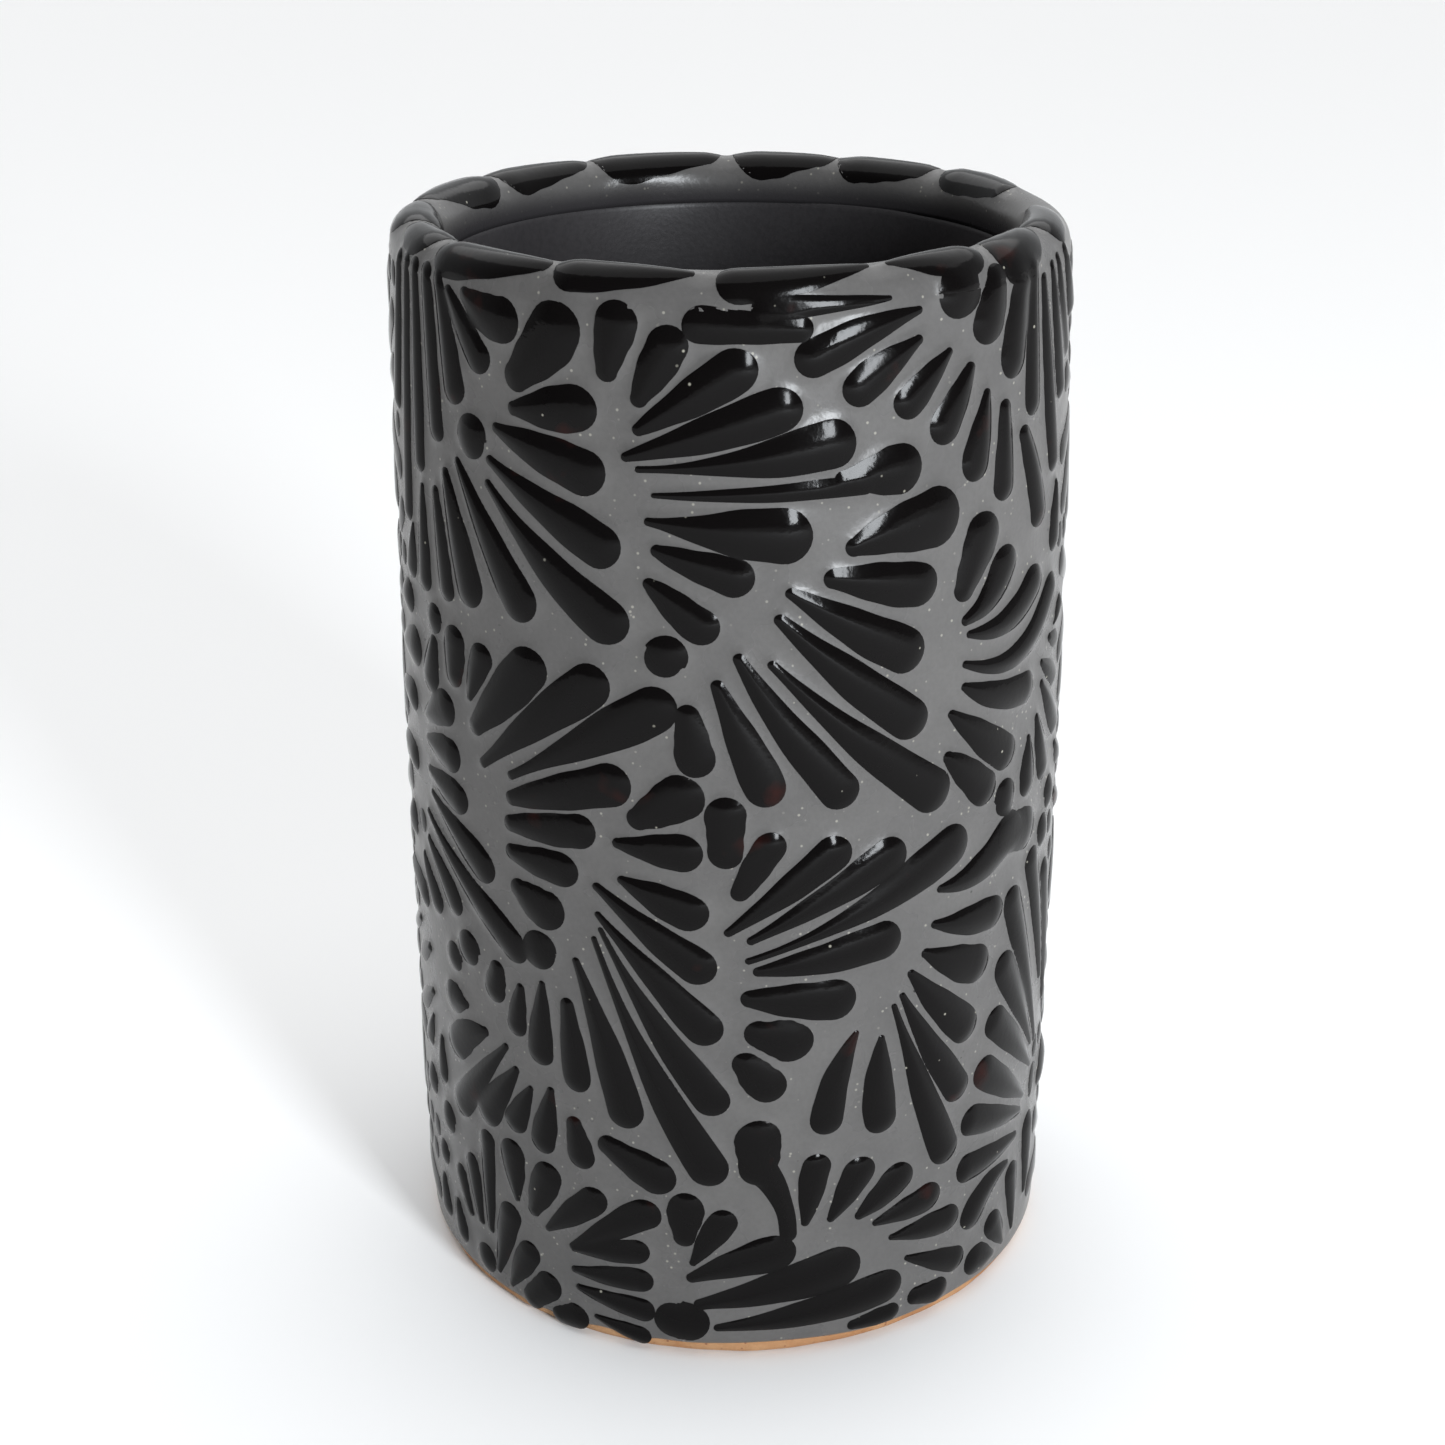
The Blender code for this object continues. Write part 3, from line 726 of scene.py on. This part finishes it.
def bump(nodes, links, shader, height, depth):
    """Fine surface relief, depth in metres."""
    node = nodes.new("ShaderNodeBump")
    node.inputs["Strength"].default_value = 1.0
    node.inputs["Distance"].default_value = depth
    links.new(height, node.inputs["Height"])
    links.new(node.outputs["Normal"], shader.inputs["Normal"])


GREY = (0.091, 0.088, 0.086)
GREY_LIGHT = (0.112, 0.108, 0.105)
GREY_GRAIN = (0.066, 0.064, 0.062)
SPECK = (0.25, 0.24, 0.21)
# Colours of the inside are painted shade: the glaze painted dark for the shade within the mouth.
LINER_SHADE_DARK = (0.034, 0.032, 0.034)
LINER_SHADE_PALE = (0.045, 0.042, 0.044)
LINER_SHADE_GRAIN = (0.022, 0.021, 0.022)
GLAZE_SPECULAR = 0.27
BLACK_SPECULAR = 0.1
BLACK = (0.0035, 0.003, 0.003)
RED_BLACK = (0.020, 0.005, 0.004)
BLACK_SPECK = (0.25, 0.24, 0.20)
CLAY = (0.36, 0.170, 0.070)
CLAY_PALE = (0.47, 0.27, 0.135)
CLAY_DARK = (0.22, 0.09, 0.045)


def grey_glaze():
    """Satin grey with faint clouds, fine pale specks and a few dark ones, darkened inside the mouth by
    painted shade.
    """
    material, nodes, links, shader = new_material("grey_glaze_look")
    clouds = texture(nodes, links, "ShaderNodeTexNoise", 70, Detail=4.0, Roughness=0.55)
    grain = texture(nodes, links, "ShaderNodeTexNoise", 1500, Detail=2.0)
    cloudy = ramp(nodes, links, clouds.outputs["Fac"], 0.3, 0.7)
    colour = blend_colour(nodes, links, cloudy, GREY, GREY_LIGHT)
    grained = ramp(nodes, links, grain.outputs["Fac"], 0.35, 0.75, 0.0, 0.25)
    colour = blend_colour(nodes, links, grained, colour, GREY_GRAIN)
    cells = texture(nodes, links, "ShaderNodeTexVoronoi", 900)
    near = ramp(nodes, links, cells.outputs["Distance"], 0.10, 0.20, 1.0, 0.0)
    chosen = ramp(nodes, links, cells.outputs["Color"], 0.62, 0.70)
    colour = blend_colour(nodes, links, multiply(nodes, links, near, chosen), colour, SPECK)
    spots = texture(nodes, links, "ShaderNodeTexVoronoi", 150)
    spot = ramp(nodes, links, spots.outputs["Distance"], 0.030, 0.050, 1.0, 0.0)
    picked = ramp(nodes, links, spots.outputs["Color"], 0.72, 0.76)
    colour = blend_colour(nodes, links, multiply(nodes, links, spot, picked), colour, BLACK)
    # Painted shade: the coat turns to the inside's painted-dark colour as it runs down inside the mouth.
    depth = nodes.new("ShaderNodeAttribute")
    depth.attribute_name = "inside"
    colour = blend_colour(nodes, links, depth.outputs["Fac"], colour, LINER_SHADE_DARK)
    links.new(colour, shader.inputs["Base Color"])
    links.new(ramp(nodes, links, clouds.outputs["Fac"], 0.3, 0.7, 0.22, 0.34), shader.inputs["Roughness"])
    shader.inputs["Specular IOR Level"].default_value = GLAZE_SPECULAR
    bump(nodes, links, shader, grain.outputs["Fac"], 0.00003)
    return material


def black_glaze():
    """Deep glossy black, thin enough in places to show a red-brown."""
    material, nodes, links, shader = new_material("black_glaze_look")
    clouds = texture(nodes, links, "ShaderNodeTexNoise", 110, Detail=3.0)
    grain = texture(nodes, links, "ShaderNodeTexNoise", 1300, Detail=2.0)
    thin = ramp(nodes, links, clouds.outputs["Fac"], 0.66, 0.78)
    colour = blend_colour(nodes, links, thin, BLACK, RED_BLACK)
    cells = texture(nodes, links, "ShaderNodeTexVoronoi", 420)
    near = ramp(nodes, links, cells.outputs["Distance"], 0.05, 0.10, 1.0, 0.0)
    chosen = ramp(nodes, links, cells.outputs["Color"], 0.72, 0.76)
    colour = blend_colour(nodes, links, multiply(nodes, links, near, chosen), colour, BLACK_SPECK)
    links.new(colour, shader.inputs["Base Color"])
    links.new(ramp(nodes, links, clouds.outputs["Fac"], 0.3, 0.7, 0.07, 0.16), shader.inputs["Roughness"])
    shader.inputs["Specular IOR Level"].default_value = BLACK_SPECULAR
    bump(nodes, links, shader, grain.outputs["Fac"], 0.000015)
    return material


def liner_glaze():
    """Satin glaze with a fine grain, painted dark as painted shade for the inside of the vase."""
    material, nodes, links, shader = new_material("liner_painted_shade_look")
    clouds = texture(nodes, links, "ShaderNodeTexNoise", 60, Detail=4.0)
    grain = texture(nodes, links, "ShaderNodeTexNoise", 1400, Detail=2.0)
    cloudy = ramp(nodes, links, clouds.outputs["Fac"], 0.3, 0.7)
    colour = blend_colour(nodes, links, cloudy, LINER_SHADE_DARK, LINER_SHADE_PALE)
    grained = ramp(nodes, links, grain.outputs["Fac"], 0.4, 0.7, 0.0, 0.35)
    colour = blend_colour(nodes, links, grained, colour, LINER_SHADE_GRAIN)
    links.new(colour, shader.inputs["Base Color"])
    links.new(ramp(nodes, links, clouds.outputs["Fac"], 0.3, 0.7, 0.34, 0.46), shader.inputs["Roughness"])
    shader.inputs["Specular IOR Level"].default_value = GLAZE_SPECULAR
    bump(nodes, links, shader, grain.outputs["Fac"], 0.00003)
    return material


def terracotta():
    """Bare fired clay, blotched and grogged."""
    material, nodes, links, shader = new_material("terracotta_look")
    clouds = texture(nodes, links, "ShaderNodeTexNoise", 180, Detail=5.0)
    grain = texture(nodes, links, "ShaderNodeTexNoise", 2200, Detail=3.0)
    cloudy = ramp(nodes, links, clouds.outputs["Fac"], 0.35, 0.65)
    colour = blend_colour(nodes, links, cloudy, CLAY, CLAY_PALE)
    cells = texture(nodes, links, "ShaderNodeTexVoronoi", 1100)
    near = ramp(nodes, links, cells.outputs["Distance"], 0.12, 0.26, 1.0, 0.0)
    chosen = ramp(nodes, links, cells.outputs["Color"], 0.55, 0.65)
    colour = blend_colour(nodes, links, multiply(nodes, links, near, chosen), colour, CLAY_DARK)
    links.new(colour, shader.inputs["Base Color"])
    links.new(ramp(nodes, links, grain.outputs["Fac"], 0.3, 0.7, 0.78, 0.95), shader.inputs["Roughness"])
    bump(nodes, links, shader, grain.outputs["Fac"], 0.00012)
    return material


# Meshes.


def add_piece(name, points, faces, material):
    mesh = bpy.data.meshes.new(name)
    mesh.from_pydata([tuple(p) for p in points.tolist()], [], faces)
    mesh.materials.append(material)
    mesh.shade_smooth()
    piece = bpy.data.objects.new(name, mesh)
    bpy.context.scene.collection.objects.link(piece)
    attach(piece, "root")
    return piece


def ring_faces(rows, columns, flip=False):
    """Quads between stacked closed rings of points."""
    faces = []
    for row in range(rows - 1):
        for i in range(columns):
            j = (i + 1) % columns
            a, b = row * columns + i, row * columns + j
            quad = (a, b, b + columns, a + columns)
            faces.append(quad[::-1] if flip else quad)
    return faces


GROUND_COLUMNS = 472
GROUND_ROWS = 262
GROUND_BACK_ROWS = 26
GLAZE_EDGE = 0.45
EDGE_ROUND_REACH = 0.8
COAT_END_REACH = 1.5
COAT_END_DIP = 0.12
DIP_START = 0.5


def glaze_edge(u):
    """Height of the grey coat's lower edge round the foot."""
    angle = u / MOUTH_RADIUS
    drips = 0.30 * np.sin(2 * angle + 1.0) + 0.20 * np.sin(5 * angle + 2.0)
    drips = drips + 0.12 * np.sin(11 * angle)
    return GLAZE_BOTTOM + 0.1 + drips


def make_ground(material):
    """The grey coat: one closed shell, its outside raised by the strokes that it carries."""
    u = np.linspace(0, SHEET_WIDTH, GROUND_COLUMNS, endpoint=False)
    rise = np.linspace(0, 1, GROUND_ROWS)[:, None]
    edge = glaze_edge(u)[None, :]
    first = GLAZE_BOTTOM
    v = first + (COAT_END - first) * rise
    v = v + (edge - first) * np.exp(-(v - first) / 4)
    u_grid = np.broadcast_to(u, v.shape)
    dip = np.clip((-sample(nearest, u_grid, v) - DIP_START) / DIP_START, 0, 1)
    height = relief(u_grid, v) - GROUND_DIP * dip * dip * (3 - 2 * dip)
    from_edge = np.clip((v - edge) / EDGE_ROUND_REACH, 0, 1)
    height = height - GLAZE_EDGE * (1 - np.sqrt(1 - (1 - from_edge) ** 2))
    from_end = np.clip((COAT_END - v) / COAT_END_REACH, 0, 1)
    height = height * from_end - COAT_END_DIP * (1 - from_end)
    outside = on_sheet(u_grid, v, height)
    back_rise = np.linspace(1, 0, GROUND_BACK_ROWS)[:, None]
    v_back = edge + (COAT_END - edge) * back_rise
    u_back = np.broadcast_to(u, v_back.shape)
    inside = on_sheet(u_back, v_back, np.full(v_back.shape, -GLAZE_THICKNESS))
    points = np.concatenate([outside, inside]).reshape(-1, 3)
    rows = GROUND_ROWS + GROUND_BACK_ROWS
    faces = ring_faces(rows, GROUND_COLUMNS)
    last = (rows - 1) * GROUND_COLUMNS
    for i in range(GROUND_COLUMNS):
        j = (i + 1) % GROUND_COLUMNS
        faces.append((last + i, last + j, j, i))
    piece = add_piece("grey_glaze_coat", points, faces, material)
    # Painted shade: how far the coat runs down inside the mouth, where it is darkened to the inside's
    # colour.
    depth = np.clip((v - BORE_START + 2.0) / (COAT_END - BORE_START + 1.5), 0, 1)
    depth = depth * depth * (3 - 2 * depth)
    values = np.concatenate([depth, np.ones(v_back.shape)]).ravel()
    attribute = piece.data.attributes.new("inside", "FLOAT", "POINT")
    attribute.data.foreach_set("value", values)
    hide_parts("outer_glaze")


STATIONS = 22
CAP_STATIONS = 6
STROKE_COLUMNS = 11
CAP_END_SHARE = 0.02
SHARP_ANGLE = math.radians(50)


def outline(stroke, random):
    """Centre points, half widths and sides of a stroke's cross-sections, round caps included."""
    points, radii = spine(stroke)
    t = np.linspace(0, 1, STATIONS)
    own = np.linspace(0, 1, SPINE_POINTS)
    centres = np.stack([np.interp(t, own, points[:, k]) for k in (0, 1)], axis=-1)
    widths = np.interp(t, own, radii)
    headings = np.gradient(centres, axis=0)
    headings /= np.linalg.norm(headings, axis=1)[:, None]
    turns = np.linspace(0, np.pi / 2, CAP_STATIONS + 1)[1:]
    root = centres[0] - headings[0] * widths[0] * np.sin(turns[::-1, None])
    tip = centres[-1] + headings[-1] * widths[-1] * np.sin(turns[:, None])
    centres = np.concatenate([root, centres, tip])
    half = np.concatenate(
        [
            widths[0] * np.maximum(np.cos(turns[::-1]), CAP_END_SHARE),
            widths,
            widths[-1] * np.maximum(np.cos(turns), CAP_END_SHARE),
        ]
    )
    headings = np.concatenate(
        [np.repeat(headings[:1], CAP_STATIONS, 0), headings, np.repeat(headings[-1:], CAP_STATIONS, 0)]
    )
    wave = random.uniform(0, 2 * np.pi, 4)
    along = np.linspace(0, 1, len(half))
    left = 1 + 0.035 * np.sin(9 * along + wave[0]) + 0.02 * np.sin(23 * along + wave[1])
    right = 1 + 0.035 * np.sin(9 * along + wave[2]) + 0.02 * np.sin(23 * along + wave[3])
    return centres, half, headings, left, right


def stroke_shell(stroke, random):
    """Points and faces of one closed stroke: its domed top, its sides and its hidden underside."""
    centres, half, headings, left, right = outline(stroke, random)
    sides = np.stack([-headings[:, 1], headings[:, 0]], axis=-1)
    spread = np.sin(np.linspace(-np.pi / 2, np.pi / 2, STROKE_COLUMNS))
    scale = np.where(spread[None, :] > 0, left[:, None], right[:, None])
    across = half[:, None] * spread[None, :] * scale
    places = centres[:, None, :] + sides[:, None, :] * across[:, :, None]
    top_height = relief(places[..., 0], places[..., 1]) + STROKE_LIFT
    top = on_sheet(places[..., 0], places[..., 1], top_height)
    rims = places[:, [-1, 0], :]
    low_height = relief(rims[..., 0], rims[..., 1]) - STROKE_DEPTH
    low = on_sheet(rims[..., 0], rims[..., 1], low_height)
    rings = np.concatenate([top, low], axis=1)
    rows, columns = rings.shape[:2]
    faces = [face[::-1] for face in ring_faces(rows, columns)]
    faces.append(tuple(range(columns)))
    faces.append(tuple(reversed(range((rows - 1) * columns, rows * columns))))
    return rings.reshape(-1, 3), faces


def make_strokes(name, strokes, material, random, *nodes):
    """One piece that holds the given strokes."""
    points, faces, count = [], [], 0
    for stroke in strokes:
        shell, shell_faces = stroke_shell(stroke, random)
        points.append(shell)
        faces += [tuple(i + count for i in face) for face in shell_faces]
        count += len(shell)
    piece = add_piece(name, np.concatenate(points), faces, material)
    piece.data.set_sharp_from_angle(angle=SHARP_ANGLE)
    if nodes:
        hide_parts(*nodes)


# Radius of the innermost ring of a turned piece, which is closed by one point on the axis.
AXIS_RADIUS = 0.4


def turned_piece(name, rings, segments, material, wobble=None):
    """A piece turned about the vase's axis from (radius, height) rings, closed at both axis ends."""
    angles = np.linspace(0, 2 * np.pi, segments, endpoint=False)
    points = []
    for radius, height in rings:
        r = np.full(segments, radius)
        z = np.full(segments, height)
        if wobble:
            r, z = wobble(angles, r, z)
        points.append(np.stack([r * np.sin(angles), -r * np.cos(angles), z], axis=-1))
    points = np.concatenate(points) * MM
    faces = ring_faces(len(rings), segments, True)
    first = len(points)
    middle = [[0, 0, rings[0][1] * MM], [0, 0, rings[-1][1] * MM]]
    last = (len(rings) - 1) * segments
    for i in range(segments):
        j = (i + 1) % segments
        faces.append((first, i, j))
        faces.append((first + 1, last + j, last + i))
    return add_piece(name, np.concatenate([points, middle]), faces, material)


def make_liner(material):
    """The coat down the bore and over the floor, painted dark as painted shade, with faint throwing rings.
    """
    top = LINER_TOP + GLAZE_THICKNESS
    underside = FLOOR_HEIGHT - GLAZE_THICKNESS
    rings = [(AXIS_RADIUS, underside), (BORE_RADIUS - FLOOR_FILLET, underside)]
    for turn in np.linspace(0, np.pi / 2, 8)[1:]:
        rings.append(
            (
                BORE_RADIUS - FLOOR_FILLET + (FLOOR_FILLET + GLAZE_THICKNESS) * math.sin(turn),
                FLOOR_HEIGHT + FLOOR_FILLET - (FLOOR_FILLET + GLAZE_THICKNESS) * math.cos(turn),
            )
        )
    rings.append((BORE_RADIUS + GLAZE_THICKNESS, top - 0.1))
    rings.append((BORE_RADIUS + 0.3, top))
    for height in np.linspace(top - 0.1, FLOOR_HEIGHT + FLOOR_FILLET, 150):
        step_back = 0.16 * math.exp(-(top - height) / 1.5)
        ring = 0.035 * math.sin(height / 1.9) + 0.05 * math.sin(height / 5.3)
        rings.append((BORE_RADIUS + step_back - ring * min(1, (top - height) / 12), height))
    for turn in np.linspace(0, np.pi / 2, 10)[1:]:
        radius = BORE_RADIUS - FLOOR_FILLET * (1 - math.cos(turn))
        rings.append((radius, FLOOR_HEIGHT + FLOOR_FILLET * (1 - math.sin(turn))))
    for radius in np.linspace(BORE_RADIUS - FLOOR_FILLET - 2, AXIS_RADIUS, 18):
        rings.append((radius, FLOOR_HEIGHT + 0.25 * math.exp(-radius / 6) + 0.04 * math.sin(radius / 1.7)))
    piece = turned_piece("painted_shade_liner", rings, 220, material)
    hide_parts("liner_glaze")


def make_clay(material):
    """The fired clay body: foot ring and recess below, the wall hidden between the glazes."""
    foot_radius = float(wall_radius(np.array(0.0)))
    inset = GLAZE_THICKNESS + LAYER_GAP
    rings = [(AXIS_RADIUS, 1.2), (20, 1.25), (foot_radius - 11.5, 1.2)]
    rings += [(foot_radius - 10, 0.8), (foot_radius - 9, 0.1)]
    rings += [(foot_radius - 8.4, 0.0), (foot_radius - 5, 0.02), (foot_radius - 1.6, 0.0)]
    for height in (0.0, 0.25, 0.6, 1.0, 1.4, 1.8, 2.2, 2.7):
        round_edge = 0.5 * math.exp(-height / 0.35)
        rings.append((float(wall_radius(np.array(height))) - GLAZE_EDGE - round_edge, height))
    rings.append((float(wall_radius(np.array(3.4))) - inset, 3.4))
    for height in np.linspace(6, LIP_CENTRE_HEIGHT, 24):
        rings.append((float(wall_radius(np.array(height))) - inset, height))
    for turn in np.linspace(0, np.pi, 12)[1:]:
        radius = LIP_CENTRE_RADIUS + (LIP_RADIUS - inset) * math.cos(turn)
        rings.append((radius, LIP_CENTRE_HEIGHT + (LIP_RADIUS - inset) * math.sin(turn)))
    rings.append((BORE_RADIUS + inset, FLOOR_HEIGHT + FLOOR_FILLET))
    rings.append((BORE_RADIUS + inset - 2, FLOOR_HEIGHT + 1.0))
    rings.append((BORE_RADIUS - FLOOR_FILLET, FLOOR_HEIGHT - inset))
    rings.append((AXIS_RADIUS, FLOOR_HEIGHT - inset))

    def hand_cut(angles, radius, height):
        """Trimming marks on the bare foot."""
        low = np.exp(-np.maximum(height, 0) / 2.5)
        outer = radius > foot_radius - 3
        cut = 0.10 * np.sin(7 * angles + 1) + 0.07 * np.sin(17 * angles + height)
        cut = cut + 0.04 * np.sin(41 * angles)
        return radius + np.where(outer, low * cut, 0), height

    piece = turned_piece("terracotta_body", rings, 260, material, hand_cut)
    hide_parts("clay_body")


# Stage.

FLOOR_HALF_SIDE = 4.0
FLOOR_COLOUR = (0.9, 0.9, 0.9, 1)
AIM_SHARE = 0.55
WORLD_COLOUR = (0.96, 0.98, 1.0, 1)
# From and to along Y, and the strength at each.
WORLD_GLOW = (-0.35, 0.5, 0.04, 0.75)


def make_floor():
    mesh = bpy.data.meshes.new("floor")
    side = FLOOR_HALF_SIDE
    corners = [(-side, -side, 0), (side, -side, 0), (side, side, 0), (-side, side, 0)]
    mesh.from_pydata(corners, [], [(0, 1, 2, 3)])
    material, _, _, shader = new_material("floor_paper")
    shader.inputs["Base Color"].default_value = FLOOR_COLOUR
    shader.inputs["Roughness"].default_value = 0.9
    shader.inputs["Specular IOR Level"].default_value = 0.1
    mesh.materials.append(material)
    floor = bpy.data.objects.new("floor", mesh)
    bpy.context.scene.collection.objects.link(floor)


def add_lamp(light, azimuth, elevation, distance):
    """Puts a light where it faces the middle of the vase. Azimuth 0 is in front, at -Y."""
    a, e = math.radians(azimuth), math.radians(elevation)
    aim = Vector((0, 0, HEIGHT * MM * AIM_SHARE))
    away = Vector((math.sin(a) * math.cos(e), -math.cos(a) * math.cos(e), math.sin(e)))
    lamp = bpy.data.objects.new(light.name, light)
    lamp.location = aim + away * distance
    lamp.rotation_mode = "QUATERNION"
    lamp.rotation_quaternion = (-away).to_track_quat("-Z", "Y")
    bpy.context.scene.collection.objects.link(lamp)


def make_window():
    """The soft light on the right, whose reflection shows on the strokes."""
    light = bpy.data.lights.new("window", "AREA")
    light.shape = "RECTANGLE"
    light.size, light.size_y = 0.18, 0.36
    light.energy = 11
    light.color = (0.92, 0.96, 1.0)
    add_lamp(light, azimuth=31, elevation=15, distance=1.0)


def make_ceiling():
    """A wide soft light from far above and behind, so that the floor is evenly pale."""
    light = bpy.data.lights.new("ceiling", "SUN")
    light.energy = 2.1
    light.angle = math.radians(90)
    add_lamp(light, azimuth=180, elevation=72, distance=1.0)


def make_world():
    """A studio that is bright above and behind the vase and dim in front; pale where it is seen."""
    world = bpy.data.worlds.new("studio")
    bpy.context.scene.world = world
    world.use_nodes = True
    nodes, links = world.node_tree.nodes, world.node_tree.links
    background = nodes["Background"]
    background.inputs["Color"].default_value = WORLD_COLOUR
    place = nodes.new("ShaderNodeTexCoord")
    parts = nodes.new("ShaderNodeSeparateXYZ")
    links.new(place.outputs["Generated"], parts.inputs["Vector"])
    glow = ramp(nodes, links, parts.outputs["Y"], *WORLD_GLOW)
    path = nodes.new("ShaderNodeLightPath")
    choice = nodes.new("ShaderNodeMix")
    links.new(path.outputs["Is Camera Ray"], choice.inputs["Factor"])
    links.new(glow, choice.inputs["A"])
    choice.inputs["B"].default_value = 1.0
    links.new(choice.outputs["Result"], background.inputs["Strength"])


def make_camera():
    camera = bpy.data.objects.new("camera", bpy.data.cameras.new("camera"))
    camera.data.lens = CAMERA_LENS
    camera.data.sensor_width = 36.0
    camera.data.clip_start = 0.01
    camera.data.clip_end = 50
    turn = Matrix.Rotation(CAMERA_YAW, 4, "Z") @ Matrix.Rotation(math.pi / 2 - CAMERA_PITCH, 4, "X")
    turn = turn @ Matrix.Rotation(CAMERA_ROLL, 4, "Z")
    camera.matrix_world = Matrix.Translation((0, -CAMERA_DISTANCE, CAMERA_HEIGHT)) @ turn
    bpy.context.scene.collection.objects.link(camera)
    bpy.context.scene.camera = camera


def main():
    make_camera()
    random = np.random.default_rng(7)
    back_petals = {name: [turned_upside_down(s) for s in PETALS[name]] for name in BACK_NODES}
    fans = dict(FANS)
    others = [name for name in PETALS if name not in BACK_NODES]
    spare = [turned_upside_down(s) for name in others for s in PETALS[name]]
    spare += [turned_upside_down(s) for s in DOTS.values()]
    rim = [on_lip(s) for s in RIM_STROKES]

    every = [s for group in (PETALS, back_petals, fans) for strokes in group.values() for s in strokes]
    for stroke in every + list(DOTS.values()) + rim:
        lay(stroke)

    fans["back_single_strokes"] = lay_apart(spare)
    for name, strokes in FANS.items():
        fans["back_" + name] = lay_apart([turned_upside_down(s) for s in strokes])
    for name, azimuth in (("right_side_strokes", 90), ("left_side_strokes", -90)):
        fans[name] = []
        for number, height in enumerate(SIDE_HUBS):
            hub_azimuth = azimuth + SIDE_HUB_SHIFTS[number % 2]
            fans[name] += side_fan(hub_azimuth, height, SIDE_HUB_TURN * number)
        fans[name] += fill(azimuth, SIDE_DROP_COLUMNS)
    fans["back_drops"] = fill(180, BACK_DROP_COLUMNS)

    black = black_glaze()
    for name, strokes in PETALS.items():
        for number, stroke in enumerate(strokes, start=1):
            node = f"{name}_{number}"
            make_strokes("glaze_" + node, [stroke], black, random, node)
    for name, strokes in back_petals.items():
        for number, stroke in enumerate(strokes, start=1):
            node = f"back_{name}_{number}"
            make_strokes("glaze_" + node, [stroke], black, random, node)
    for name, stroke in DOTS.items():
        make_strokes("glaze_" + name, [stroke], black, random, name)
    for number, stroke in enumerate(rim, start=1):
        node = f"rim_stroke_{number:02d}"
        make_strokes("glaze_" + node, [stroke], black, random, node)
    for name, strokes in fans.items():
        make_strokes(name, strokes, black, random)
    make_ground(grey_glaze())
    make_liner(liner_glaze())
    make_clay(terracotta())

    make_floor()
    make_world()
    make_window()
    make_ceiling()
    bpy.context.scene.view_settings.view_transform = "Standard"


main()
